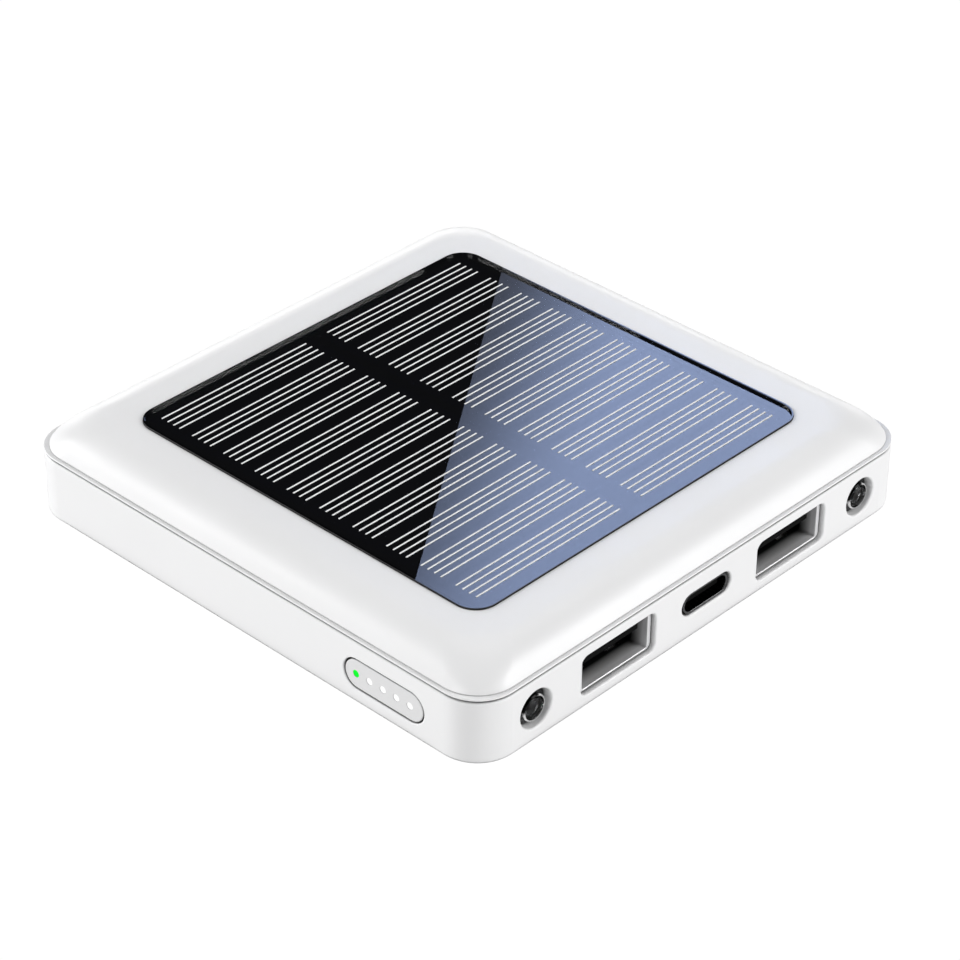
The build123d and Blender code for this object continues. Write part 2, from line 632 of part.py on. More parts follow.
def make_mosfets():
    places = ((-22.0, -24.5), (-22.6, -20.2), (6.8, -30.5))
    return Compound(children=[on_board(x, y, (3.0, 3.0, 0.8)) for x, y in places])


def make_ceramic_capacitors():
    places = [(-7.2, -31.5 + 2.2 * i) for i in range(3)]
    places += [(-3.5 + 3.0 * i, -22.0) for i in range(4)]
    places += [(-28.5, -26.5 + 2.4 * i) for i in range(3)]
    places += [(27.5, -26.5 + 2.4 * i) for i in range(2)]
    return Compound(children=[on_board(x, y, (2.0, 1.25, 1.2)) for x, y in places])


def make_polymer_capacitors():
    places = ((-17.6, -20.6), (21.5, -26.0))
    return Compound(children=[on_board(x, y, (3.5, 2.8, 1.9), 0.2) for x, y in places])


def make_chip_resistors():
    places = [(-2.5 + 1.6 * i, -32.4) for i in range(5)]
    places += [(-36.2 + 1.6 * i, -34.4) for i in range(4)]
    places += [(18.0, -24.6 + 1.4 * i) for i in range(4)]
    return Compound(children=[on_board(x, y, (1.0, 0.5, 0.4)) for x, y in places])


def make_blocking_diode():
    """Keeps the cell from discharging back through the panel."""
    diode = on_board(23.0, -21.3, (4.3, 2.6, 2.1))
    return chamfer(edges_on_face(diode, Axis.Z, BOARD_TOP + 2.1), 0.3)


# ---------------------------------------------------------------- battery and wires
def make_battery_cell():
    x = BATTERY_HALF_X
    cell = block(-x, x, BATTERY_FRONT, BATTERY_BACK, BATTERY_BOTTOM, BATTERY_TOP)
    cell = fillet(cell.edges().filter_by(Axis.Z), 1.5)
    long_edges = edges_on_face(cell, Axis.Z, BATTERY_TOP) + edges_on_face(cell, Axis.Z, BATTERY_BOTTOM)
    return fillet(long_edges, 1.2)


def make_battery_tape():
    return block(-28, 28, -4, 32, FLOOR, BATTERY_BOTTOM)


def make_battery_tabs():
    tabs = [block(x - 2.5, x + 2.5, TAB_FRONT, BATTERY_FRONT, *TAB_Z) for x in TAB_X]
    return Compound(children=tabs)


def make_protection_board():
    return block(-PROTECTION_HALF_X, PROTECTION_HALF_X, *PROTECTION_Y, TAB_Z[1], PROTECTION_TOP)


def make_protection_chips():
    y0 = PROTECTION_Y[0] + 0.3
    y1 = PROTECTION_Y[1] - 0.3
    z0 = PROTECTION_TOP
    chips = [block(x - 1.5, x + 1.5, y0, y1, z0, z0 + 1.1) for x in (-9.0, -3.0, 3.0)]
    return Compound(children=chips)


def battery_wire(x):
    """From the protection board over the rib to the main board."""
    over = 8.4
    start = -13.6
    foot = -18.6
    points = [(x, start, PROTECTION_TOP), (x, start, over), (x, foot, over), (x, foot, BOARD_TOP)]
    return tube(points, BATTERY_WIRE_RADIUS, 1.4)


def solar_wire(x):
    """From the underside of the panel through the slot and down to the main board."""
    top = RECESS_Z + TAPE_THICKNESS
    over = 9.8
    start = (WIRE_SLOT[2] + WIRE_SLOT[3]) / 2
    foot = SOLAR_WIRE_FOOT_Y
    points = [(x, start, top), (x, start, over), (x, foot, over), (x, foot, BOARD_TOP)]
    return tube(points, SOLAR_WIRE_RADIUS, 1.0)


# ---------------------------------------------------------------- writing the parts
def write(name, shape):
    export_step(shape, os.path.join("parts", name + ".step"))


def write_pair(name, shape, places):
    """The same piece on the left and on the right of the port face."""
    write(name + "_left", Pos(places[0], 0, 0) * shape)
    write(name + "_right", Pos(places[1], 0, 0) * shape)


os.makedirs("parts", exist_ok=True)
write("bottom_cover", make_bottom_cover())
write("top_cover", make_top_cover())
write("panel_tape", make_panel_tape())
write("panel_backsheet", make_panel_backsheet())
write("solar_cells", make_solar_cells())
write("cell_lines", make_cell_lines())
write("panel_glass", make_panel_glass())
write_pair("usb_a_shell", make_usb_a_shell(), USB_A_PLACES)
write_pair("usb_a_tongue", make_usb_a_tongue(), USB_A_PLACES)
write_pair("usb_a_contacts", make_usb_a_contacts(), USB_A_PLACES)
write("usb_c_shell", Pos(USB_C_X, 0, 0) * make_usb_c_shell())
write("usb_c_tongue", Pos(USB_C_X, 0, 0) * make_usb_c_tongue())
write("usb_c_contacts", Pos(USB_C_X, 0, 0) * make_usb_c_contacts())
write_pair("lamp_bezel", make_lamp_bezel(), LAMP_PLACES)
write_pair("lamp_sleeve", make_lamp_sleeve(), LAMP_PLACES)
write_pair("lamp_lens", make_lamp_lens(), LAMP_PLACES)
write_pair("lamp_cup", make_lamp_cup(), LAMP_PLACES)
write_pair("lamp_leads", make_lamp_leads(), LAMP_PLACES)
write("power_button", make_power_button())
write("indicator_light_guide", make_light_guide())
write("switch_plunger", make_switch_plunger())
write("switch_body", make_switch_body())
write("indicator_leds", make_indicator_leds())
write("main_board", make_main_board())
write("board_screws", make_board_screws())
write("boost_inductor", make_inductor())
write("controller_chip", make_controller_chip())
write("charger_chip", make_charger_chip())
write("mosfets", make_mosfets())
write("ceramic_capacitors", make_ceramic_capacitors())
write("polymer_capacitors", make_polymer_capacitors())
write("chip_resistors", make_chip_resistors())
write("blocking_diode", make_blocking_diode())
write("battery_cell", make_battery_cell())
write("battery_tape", make_battery_tape())
write("battery_tabs", make_battery_tabs())
write("protection_board", make_protection_board())
write("protection_chips", make_protection_chips())
write("battery_wire_red", battery_wire(-BATTERY_WIRE_X))
write("battery_wire_black", battery_wire(BATTERY_WIRE_X))
write("solar_wire_red", solar_wire(-SOLAR_WIRE_X))
write("solar_wire_black", solar_wire(SOLAR_WIRE_X))
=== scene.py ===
"""Solar phone charger: finishes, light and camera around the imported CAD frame."""
import json
import math

import bpy
from mathutils import Matrix, Vector


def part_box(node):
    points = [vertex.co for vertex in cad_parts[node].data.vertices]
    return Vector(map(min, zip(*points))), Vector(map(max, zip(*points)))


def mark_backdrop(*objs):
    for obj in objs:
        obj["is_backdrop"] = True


MM = 0.001
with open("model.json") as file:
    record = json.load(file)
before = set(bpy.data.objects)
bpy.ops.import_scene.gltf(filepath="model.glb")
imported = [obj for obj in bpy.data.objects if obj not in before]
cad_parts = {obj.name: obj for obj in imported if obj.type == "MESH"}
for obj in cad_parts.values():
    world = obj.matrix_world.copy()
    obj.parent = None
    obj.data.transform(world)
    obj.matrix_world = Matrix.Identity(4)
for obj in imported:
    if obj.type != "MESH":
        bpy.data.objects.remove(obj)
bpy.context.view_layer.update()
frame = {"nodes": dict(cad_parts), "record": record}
nodes = frame["nodes"]

# ---------------------------------------------------------------- camera settings
CAMERA_AZIMUTH = math.radians(-46.57)
CAMERA_ELEVATION = math.radians(34.05)
CAMERA_ROLL = math.radians(0.364)
CAMERA_DISTANCE = 446.24 * MM
CAMERA_TARGET = Vector((4.405, 2.0, 0.2)) * MM
CAMERA_LENS = 119.05            # focal length, in millimetres
CAMERA_SENSOR = 36              # width, in millimetres

# ---------------------------------------------------------------- studio settings
FLOOR_RADIUS = 4.0
FLOOR_RISE = 0.8                # height of its curved rim
FLOOR_GLOW = 1.02               # as the camera sees it
FLOOR_BOUNCE = 0.68             # what it throws back on the object
FLOOR_SPOKES = 360
FLOOR_FLAT = 0.75               # share of the radius that stays flat
FLOOR_INNER = 0.1               # share of the radius left to the patch round the foot
FLOOR_BEND_STEPS = 8
CONTACT_SHADE = 0.55 * MM       # the floor is dark this far out from the foot
FOOT_POWER = 12                 # how square the dark patch is
AIR_GLOW = 0.003                # of the world around the studio

# ---------------------------------------------------------------- finish settings
SHELL_WHITE = (0.86, 0.86, 0.865)
BUTTON_WHITE = (0.73, 0.73, 0.735)      # greyer than the covers
SHELL_SHADE_REACH = 0.9                     # millimetres that the painted shade reaches out of a gap
LAMINATE_IOR = 1.55
EDGE_WEAR_AND_HIGHLIGHT = 0.12                        # millimetres of bright edge: rubbed plating on most metals, a painted highlight on the tin plate
LIT_SHARE = 0.19                        # share of the light guide's length with the lit pin
USB_A_SHADE_DEPTHS = (0.8 * MM, 2.8 * MM)       # depths where the painted shade inside starts and covers all
USB_C_SLOTS = (0.25 * MM, 0.35 * MM)    # depths where the spring slots start
LAMP_WELL_SHADE = (0.5 * MM, 0.7 * MM)        # depths where the painted shade in the well starts and is full
# Blacks: painted shade and painted dark reflection in the lamps, painted shade in the USB-A sockets, and
# the USB-C spring slots.
PAINTED_LAMP_BLACK = (0.006, 0.006, 0.006)
SOCKET_SHADE_BLACK = (0.004, 0.004, 0.004)
SLOT_BLACK = (0.01, 0.01, 0.01)


# ---------------------------------------------------------------- material helpers
class Finish:
    """A Principled material, with short calls for its procedural detail.

    Textures use object coordinates. Every node's object sits at the origin of the
    frame, so one metre of texture is one metre of the object.
    """

    def __init__(self, name, colour, roughness, **settings):
        self.material = bpy.data.materials.new(name)
        self.material.use_nodes = True
        self.tree = self.material.node_tree
        self.shader = self.tree.nodes["Principled BSDF"]
        self.shader.inputs["Base Color"].default_value = (*colour, 1)
        self.shader.inputs["Roughness"].default_value = roughness
        for setting, value in settings.items():
            self.shader.inputs[setting.replace("_", " ")].default_value = value
        self.place = self.add("ShaderNodeTexCoord").outputs["Object"]
        self.normal = None

    def add(self, kind, **settings):
        node = self.tree.nodes.new(kind)
        for setting, value in settings.items():
            setattr(node, setting, value)
        return node

    def link(self, output, target):
        self.tree.links.new(output, target)

    def stretched(self, factors):
        """Object coordinates scaled by a different factor along each axis."""
        mapping = self.add("ShaderNodeMapping")
        mapping.inputs["Scale"].default_value = factors
        self.link(self.place, mapping.inputs["Vector"])
        return mapping.outputs["Vector"]

    def along(self, axis, start, end):
        """0 up to the start and 1 from the end, both in metres along an object axis."""
        split = self.add("ShaderNodeSeparateXYZ")
        self.link(self.place, split.inputs["Vector"])
        return self.remap(split.outputs[axis], start, end, 0.0, 1.0)

    def deeper(self, node, depths):
        """0 at the port-side end of a node and 1 further in, between two depths in metres."""
        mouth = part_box(node)[0].y
        return self.along("Y", mouth + depths[0], mouth + depths[1])

    def across(self, axis):
        """0 to 1 from one side of the object to the other along an axis."""
        split = self.add("ShaderNodeSeparateXYZ")
        self.link(self.add("ShaderNodeTexCoord").outputs["Generated"], split.inputs["Vector"])
        return split.outputs[axis]

    def noise(self, grain, detail=3.0, place=None, distortion=0.0):
        """Noise whose blobs are about this many millimetres across."""
        node = self.add("ShaderNodeTexNoise")
        node.inputs["Scale"].default_value = 1 / (grain * MM)
        node.inputs["Detail"].default_value = detail
        node.inputs["Distortion"].default_value = distortion
        self.link(place or self.place, node.inputs["Vector"])
        return node.outputs["Fac"]

    def cells(self, grain, feature="F1"):
        node = self.add("ShaderNodeTexVoronoi", feature=feature)
        node.inputs["Scale"].default_value = 1 / (grain * MM)
        self.link(self.place, node.inputs["Vector"])
        return node.outputs["Distance"]

    def waves(self, pitch, axis, distortion=0.0):
        """Parallel bands this many millimetres apart."""
        node = self.add("ShaderNodeTexWave", bands_direction=axis)
        node.inputs["Scale"].default_value = math.pi / (10 * pitch * MM)
        node.inputs["Distortion"].default_value = distortion
        self.link(self.place, node.inputs["Vector"])
        return node.outputs["Fac"]

    def remap(self, value, low, high, new_low, new_high):
        node = self.add("ShaderNodeMapRange")
        limits = {"From Min": low, "From Max": high, "To Min": new_low, "To Max": new_high}
        for key, number in limits.items():
            node.inputs[key].default_value = number
        self.link(value, node.inputs["Value"])
        return node.outputs["Result"]

    def math(self, operation, first, second):
        node = self.add("ShaderNodeMath", operation=operation)
        for slot, value in zip(node.inputs, (first, second)):
            if isinstance(value, (int, float)):
                slot.default_value = value
            else:
                self.link(value, slot)
        return node.outputs["Value"]

    def blend(self, factor, first, second):
        """A colour between two, each a colour or a socket."""
        node = self.add("ShaderNodeMix", data_type="RGBA")
        self.link(factor, node.inputs["Factor"])
        for slot, value in zip((node.inputs[6], node.inputs[7]), (first, second)):
            if isinstance(value, tuple):
                slot.default_value = (*value, 1)
            else:
                self.link(value, slot)
        return node.outputs[2]

    def colour(self, socket):
        self.link(socket, self.shader.inputs["Base Color"])

    def roughness(self, value, low, high):
        """Roughness that follows a 0 to 1 pattern between two values."""
        self.link(self.remap(value, 0.3, 0.7, low, high), self.shader.inputs["Roughness"])

    def bump(self, height, depth):
        """Adds relief this many millimetres deep, over any relief that is there already."""
        node = self.add("ShaderNodeBump")
        node.inputs["Distance"].default_value = depth * MM
        self.link(height, node.inputs["Height"])
        if self.normal:
            self.link(self.normal, node.inputs["Normal"])
        self.normal = node.outputs["Normal"]
        self.link(self.normal, self.shader.inputs["Normal"])

    def sharp_edges(self, radius):
        """1 on edges sharper than the radius in millimetres, 0 on open faces."""
        bevel = self.add("ShaderNodeBevel", samples=4)
        bevel.inputs["Radius"].default_value = radius * MM
        plain = self.add("ShaderNodeNewGeometry").outputs["Normal"]
        dot = self.add("ShaderNodeVectorMath", operation="DOT_PRODUCT")
        self.link(bevel.outputs["Normal"], dot.inputs[0])
        self.link(plain, dot.inputs[1])
        return self.remap(dot.outputs["Value"], 0.98, 0.8, 0.0, 1.0)

    def crevices(self, reach):
        """1 in gaps and inner corners narrower than the reach in millimetres, 0 in the open."""
        node = self.add("ShaderNodeAmbientOcclusion", samples=6)
        node.inputs["Distance"].default_value = reach * MM
        return self.remap(node.outputs["AO"], 0.85, 0.25, 0.0, 1.0)

    def thinned(self, share):
        """Mixes the shader with a transparent one, which keeps this share of the shader."""
        clear = self.add("ShaderNodeBsdfTransparent")
        mix = self.add("ShaderNodeMixShader")
        mix.inputs["Fac"].default_value = share
        self.link(clear.outputs["BSDF"], mix.inputs[1])
        self.link(self.shader.outputs["BSDF"], mix.inputs[2])
        self.link(mix.outputs["Shader"], self.tree.nodes["Material Output"].inputs["Surface"])


# ---------------------------------------------------------------- finishes
def satin_plastic(name, colour, gloss):
    """Moulded plastic: fine spark-eroded grain, faint flow clouding, and painted shade that darkens its
    gaps and inner corners.
    """
    finish = Finish(name, colour, gloss, Specular_IOR_Level=0.45, Subsurface_Weight=0.0)
    clouds = finish.noise(14.0, 4.0)
    darker = tuple(0.985 * c for c in colour)
    gap_shade = tuple(0.2 * c for c in colour)
    open_colour = finish.blend(finish.remap(clouds, 0.35, 0.65, 0, 1), colour, darker)
    # Painted shade: gaps and inner corners go towards a fifth of the colour, from an ambient occlusion
    # mask.
    finish.colour(finish.blend(finish.crevices(SHELL_SHADE_REACH), open_colour, gap_shade))
    finish.roughness(finish.noise(5.0, 5.0, distortion=0.6), gloss - 0.03, gloss + 0.04)
    finish.bump(finish.noise(0.35, 2.0), 0.002)
    finish.bump(finish.noise(9.0, 1.0), 0.004)
    return finish.material


def white_shell(name):
    return satin_plastic(name, SHELL_WHITE, 0.34)


def white_button(name):
    return satin_plastic(name, BUTTON_WHITE, 0.3)


def light_guide(name):
    """Milky pins; the one furthest along the button glows green, and the others carry a faint painted
    grey glow.
    """
    finish = Finish(name, (0.9, 0.91, 0.9), 0.22, Subsurface_Weight=0.0)
    milk = finish.blend(finish.noise(0.6, 3.0), (0.97, 0.97, 0.97), (0.93, 0.94, 0.935))
    finish.roughness(finish.noise(0.3, 2.0), 0.18, 0.28)
    low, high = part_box("indicator_light_guide")
    lit_edge = high.y - LIT_SHARE * (high.y - low.y)
    lit = finish.along("Y", lit_edge, lit_edge + 0.01 * MM)
    glow = finish.blend(finish.noise(0.5, 1.0), (0.0, 0.95, 0.03), (0.02, 1.0, 0.05))
    finish.shader.inputs["Emission Strength"].default_value = 1.0
    # The unlit pins emit a faint grey: painted light, as no lamp lights them.
    finish.link(finish.blend(lit, (0.12, 0.12, 0.12), glow), finish.shader.inputs["Emission Color"])
    finish.colour(finish.blend(lit, milk, (0.0, 0.05, 0.0)))
    finish.link(finish.remap(lit, 0.0, 1.0, 0.5, 0.0), finish.shader.inputs["Specular IOR Level"])
    return finish.material


def panel_glass(name):
    """Anti-glare cover film: nearly all light goes through to the glossy laminate under it."""
    finish = Finish(name, (0.8, 0.85, 0.95), 0.05, IOR=1.5)
    smears = finish.noise(18.0, 3.0)
    finish.colour(finish.blend(smears, (0.75, 0.8, 0.92), (0.85, 0.9, 1.0)))
    finish.roughness(smears, 0.03, 0.08)
    finish.bump(finish.noise(16.0, 1.0), 0.001)
    finish.thinned(0.002)
    return finish.material


def black_laminate(name, dark, light):
    """Black under clear resin, whose surface mirrors the studio."""
    finish = Finish(name, dark, 0.0, IOR=LAMINATE_IOR)
    finish.colour(finish.blend(finish.noise(2.0, 4.0), dark, light))
    finish.bump(finish.noise(25.0, 1.0), 0.0008)
    return finish.material


def backsheet(name):
    return black_laminate(name, (0.0012, 0.0012, 0.0014), (0.0022, 0.0022, 0.0026))


def silicon_cell(name):
    return black_laminate(name, (0.0012, 0.0012, 0.0018), (0.002, 0.002, 0.003))


def silver_line(name):
    """Screen-printed silver paste: pale, matt and slightly broken along its length."""
    finish = Finish(name, (0.9, 0.9, 0.9), 0.5, Metallic=0.0)
    print_grain = finish.noise(0.35, 3.0, place=finish.stretched((0.35, 1, 1)))
    gaps = finish.remap(print_grain, 0.4, 0.7, 0, 1)
    finish.colour(finish.blend(gaps, (0.93, 0.93, 0.92), (0.78, 0.79, 0.8)))
    finish.roughness(print_grain, 0.4, 0.6)
    finish.bump(print_grain, 0.01)
    return finish.material


def tape(name):
    """White foam tape with open cells on its cut edge."""
    finish = Finish(name, (0.85, 0.83, 0.78), 0.7)
    foam = finish.cells(0.3)
    finish.colour(finish.blend(finish.remap(foam, 0.1, 0.7, 0, 1), (0.7, 0.68, 0.62), (0.88, 0.86, 0.81)))
    finish.roughness(foam, 0.6, 0.8)
    finish.bump(foam, 0.05)
    return finish.material


def drawn_metal(name, colour, gloss, drawn_axis=(1, 1, 8)):
    """Metal with drawing lines in its gloss and relief, as a Finish still to be coloured."""
    finish = Finish(name, colour, gloss, Metallic=1.0)
    lines = finish.noise(0.4, 3.0, place=finish.stretched(drawn_axis))
    finish.roughness(lines, gloss - 0.04, gloss + 0.06)
    finish.bump(lines, 0.003)
    return finish


def worn_metal(name, colour, edge_colour, gloss, drawn_axis=(1, 1, 8)):
    """Plated metal with small stains and plating rubbed bright on its edges."""
    finish = drawn_metal(name, colour, gloss, drawn_axis)
    stains = finish.remap(finish.noise(2.5, 5.0), 0.35, 0.7, 0.0, 1.0)
    duller = tuple(0.82 * c for c in colour)
    body = finish.blend(stains, colour, duller)
    finish.colour(finish.blend(finish.sharp_edges(EDGE_WEAR_AND_HIGHLIGHT), body, edge_colour))
    return finish.material


def plated_steel(name):
    """Matt tin plate: plain at the mouth of a socket; further in, painted shade turns it black, and its
    edges carry a painted white highlight.
    """
    finish = drawn_metal(name, (0.82, 0.82, 0.83), 0.36, (1, 8, 1))
    # Painted highlight: the shell's edges turn white and fully non-metallic.
    edge = finish.sharp_edges(EDGE_WEAR_AND_HIGHLIGHT)
    finish.link(finish.remap(edge, 0.0, 0.5, 0.4, 0.0), finish.shader.inputs["Metallic"])
    plate_with_edge_highlight = finish.blend(edge, (0.8, 0.8, 0.81), (1.0, 1.0, 1.0))
    # Painted shade: the shell turns black further into the socket.
    socket_shade = finish.deeper("usb_a_shell_left", USB_A_SHADE_DEPTHS)
    finish.colour(finish.blend(socket_shade, plate_with_edge_highlight, SOCKET_SHADE_BLACK))
    return finish.material


def black_nickel(name):
    """Dark shell of the small socket, with its spring slots as darker stripes."""
    finish = drawn_metal(name, (0.08, 0.08, 0.083), 0.24)
    slots = finish.remap(finish.waves(0.8, "X"), 0.35, 0.5, 1.0, 0.0)
    inside = finish.deeper("usb_c_shell", USB_C_SLOTS)
    rim = finish.blend(finish.sharp_edges(EDGE_WEAR_AND_HIGHLIGHT), (0.09, 0.09, 0.093), (0.35, 0.35, 0.35))
    finish.colour(finish.blend(finish.math("MULTIPLY", slots, inside), rim, SLOT_BLACK))
    return finish.material


def gold_contact(name):
    return worn_metal(name, (0.3, 0.24, 0.13), (0.45, 0.38, 0.22), 0.3)


def bright_cup(name):
    """Lamp sleeve and cup: bright metal with stains, painted dark above and to the left as a painted
    reflection, and with painted shade deep in the well except on its right.
    """
    finish = drawn_metal(name, (0.9, 0.9, 0.91), 0.1)
    slope = finish.remap(finish.across("X"), 0.0, 1.0, 0.0, 0.7)
    # Painted reflection: dark towards the top and the left of each piece.
    painted_dark_top = finish.remap(finish.math("SUBTRACT", finish.across("Z"), slope), 0.42, 0.55, 0.0, 1.0)
    left_part = finish.remap(finish.across("X"), 0.6, 0.7, 1.0, 0.0)
    # Painted shade: black deeper than the mouth of the well, on all but its right part.
    well_shade = finish.math("MULTIPLY", finish.deeper("lamp_cup_left", LAMP_WELL_SHADE), left_part)
    stains = finish.blend(finish.noise(1.2, 4.0), (0.95, 0.95, 0.95), (0.8, 0.8, 0.81))
    finish.colour(finish.blend(finish.math("MAXIMUM", well_shade, painted_dark_top), stains, PAINTED_LAMP_BLACK))
    return finish.material


def tinned_wire(name):
    return worn_metal(name, (0.68, 0.69, 0.7), (0.85, 0.85, 0.86), 0.32, (1, 6, 6))


def screw_steel(name):
    return worn_metal(name, (0.5, 0.5, 0.52), (0.82, 0.82, 0.84), 0.3)


def nickel_tab(name):
    return worn_metal(name, (0.66, 0.63, 0.57), (0.86, 0.84, 0.8), 0.28, (6, 1, 1))


def cell_pouch(name):
    """Laminated foil: soft dimples and creases over a brushed sheen."""
    finish = Finish(name, (0.72, 0.73, 0.75), 0.32, Metallic=0.9)
    creases = finish.noise(6.0, 6.0, distortion=1.2)
    finish.colour(finish.blend(creases, (0.62, 0.63, 0.65), (0.8, 0.81, 0.82)))
    finish.roughness(finish.noise(1.2, 4.0), 0.26, 0.4)
    finish.bump(creases, 0.25)
    finish.bump(finish.noise(0.3, 2.0), 0.01)
    return finish.material


def black_plastic(name):
    """Glass-filled black moulding with a dull, slightly streaky surface."""
    finish = Finish(name, (0.006, 0.006, 0.007), 0.5, Specular_IOR_Level=0.02)
    streaks = finish.noise(0.8, 5.0, place=finish.stretched((1, 0.25, 1)))
    finish.colour(finish.blend(streaks, (0.002, 0.002, 0.002), (0.007, 0.007, 0.007)))
    finish.roughness(streaks, 0.4, 0.6)
    finish.bump(finish.noise(0.12, 2.0), 0.004)
    return finish.material


def lamp_bezel(name):
    """Glossy black moulding with fine turning marks."""
    finish = Finish(name, (0.012, 0.012, 0.013), 0.2, Specular_IOR_Level=0.5)
    cloud = finish.noise(0.7, 4.0)
    finish.colour(finish.blend(cloud, (0.006, 0.006, 0.007), (0.018, 0.018, 0.02)))
    finish.roughness(cloud, 0.14, 0.3)
    finish.bump(finish.noise(0.3, 2.0), 0.003)
    return finish.material


def clear_lens(name):
    """Cast epoxy of the lamp, faintly clouded."""
    finish = Finish(name, (0.98, 0.99, 1.0), 0.03, Transmission_Weight=1.0, IOR=1.15)
    finish.roughness(finish.noise(0.8, 3.0), 0.0, 0.03)
    finish.bump(finish.noise(1.5, 2.0), 0.002)
    return finish.material


def circuit_board(name):
    """Green solder mask over copper tracks on a woven glass board."""
    finish = Finish(name, (0.01, 0.16, 0.06), 0.35)
    tracks = finish.math("MULTIPLY", finish.waves(1.6, "X", 3.0), finish.waves(2.1, "Y", 3.0))
    copper = finish.remap(tracks, 0.35, 0.42, 0.0, 1.0)
    finish.colour(finish.blend(copper, (0.006, 0.1, 0.04), (0.03, 0.24, 0.08)))
    finish.roughness(finish.noise(0.8, 3.0), 0.28, 0.42)
    finish.bump(copper, 0.035)
    finish.bump(finish.waves(0.45, "X"), 0.006)
    return finish.material


def ferrite(name):
    """Pressed magnetic powder with chipped grains."""
    finish = Finish(name, (0.09, 0.09, 0.095), 0.6)
    grains = finish.cells(0.18)
    finish.colour(finish.blend(grains, (0.06, 0.06, 0.065), (0.15, 0.15, 0.155)))
    finish.roughness(finish.noise(0.5, 3.0), 0.5, 0.7)
    finish.bump(grains, 0.02)
    return finish.material


def chip_epoxy(name):
    """Moulded chip body with a fine matt texture."""
    finish = Finish(name, (0.02, 0.02, 0.021), 0.55)
    grain = finish.noise(0.08, 3.0)
    finish.colour(finish.blend(finish.noise(0.9, 3.0), (0.014, 0.014, 0.015), (0.032, 0.032, 0.034)))
    finish.roughness(grain, 0.48, 0.62)
    finish.bump(grain, 0.006)
    return finish.material


def ceramic_body(name):
    """Fired ceramic, tan and slightly speckled."""
    finish = Finish(name, (0.5, 0.38, 0.26), 0.4)
    speckle = finish.noise(0.15, 4.0)
    finish.colour(finish.blend(speckle, (0.42, 0.31, 0.2), (0.6, 0.47, 0.34)))
    finish.roughness(speckle, 0.34, 0.5)
    finish.bump(speckle, 0.006)
    return finish.material


def insulation(name, colour):
    """Extruded silicone sleeve: soft sheen, fine die lines and dust."""
    finish = Finish(name, colour, 0.45)
    dust = finish.remap(finish.noise(0.7, 5.0), 0.5, 0.75, 0.0, 0.35)
    pale = tuple(0.7 * c + 0.12 for c in colour)
    finish.colour(finish.blend(dust, colour, pale))
    finish.roughness(finish.noise(0.3, 3.0), 0.38, 0.55)
    finish.bump(finish.noise(0.12, 2.0), 0.004)
    return finish.material


def red_insulation(name):
    return insulation(name, (0.55, 0.02, 0.015))


def black_insulation(name):
    return insulation(name, (0.015, 0.015, 0.016))


FINISHES = {
    "white_shell": white_shell,
    "white_button": white_button,
    "light_guide": light_guide,
    "panel_glass": panel_glass,
    "backsheet": backsheet,
    "silicon_cell": silicon_cell,
    "silver_line": silver_line,
    "tape": tape,
    "plated_steel": plated_steel,
    "black_nickel": black_nickel,
    "gold_contact": gold_contact,
    "black_plastic": black_plastic,
    "clear_lens": clear_lens,
    "lamp_bezel": lamp_bezel,
    "bright_cup": bright_cup,
    "tinned_wire": tinned_wire,
    "circuit_board": circuit_board,
    "screw_steel": screw_steel,
    "ferrite": ferrite,
    "chip_epoxy": chip_epoxy,
    "ceramic_body": ceramic_body,
    "cell_pouch": cell_pouch,
    "nickel_tab": nickel_tab,
    "red_insulation": red_insulation,
    "black_insulation": black_insulation,
}


def finish_nodes():
    """Gives every CAD node the finish of its slot in the record."""
    materials = {slot: build(slot) for slot, build in FINISHES.items()}
    slot_of = {part["node"]: part["material_slot"] for part in frame["record"]["subparts"]}
    for name, node in nodes.items():
        node.data.materials.clear()
        node.data.materials.append(materials[slot_of[name]])
    for name in ("panel_glass", "lamp_lens_left", "lamp_lens_right"):
        nodes[name].visible_shadow = False


# ---------------------------------------------------------------- studio
def glowing(name, colour, strength):
    """An evenly emitting material, for the floor and cards of the studio."""
    material = bpy.data.materials.new(name)
    material.use_nodes = True
    tree = material.node_tree
    tree.nodes.clear()
    emission = tree.nodes.new("ShaderNodeEmission")
    emission.inputs["Color"].default_value = (*colour, 1)
    emission.inputs["Strength"].default_value = strength
    output = tree.nodes.new("ShaderNodeOutputMaterial")
    tree.links.new(emission.outputs["Emission"], output.inputs["Surface"])
    return material


def make_mesh(name, points, faces, material):
    mesh = bpy.data.meshes.new(name)
    mesh.from_pydata(points, [], faces)
    mesh.materials.append(material)
    obj = bpy.data.objects.new(name, mesh)
    bpy.context.scene.collection.objects.link(obj)
    return obj


def ring_mesh(name, rings, material):
    """Joins rings of equally many points, from the innermost outwards."""
    count = len(rings[0])
    points = [point for ring in rings for point in ring]
    faces = []
    for ring in range(len(rings) - 1):
        for i in range(count):
            a, b = ring * count + i, ring * count + (i + 1) % count
            faces.append((a, b, b + count, a + count))
    return make_mesh(name, points, faces, material)


def foot_point(turn):
    """A point just outside the charger's foot, on a square with rounded corners."""
    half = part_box("bottom_cover")[1].x + CONTACT_SHADE
    across, along = math.cos(turn), math.sin(turn)
    radius = half / (abs(across) ** FOOT_POWER + abs(along) ** FOOT_POWER) ** (1 / FOOT_POWER)
    return (radius * across, radius * along, 0.0)


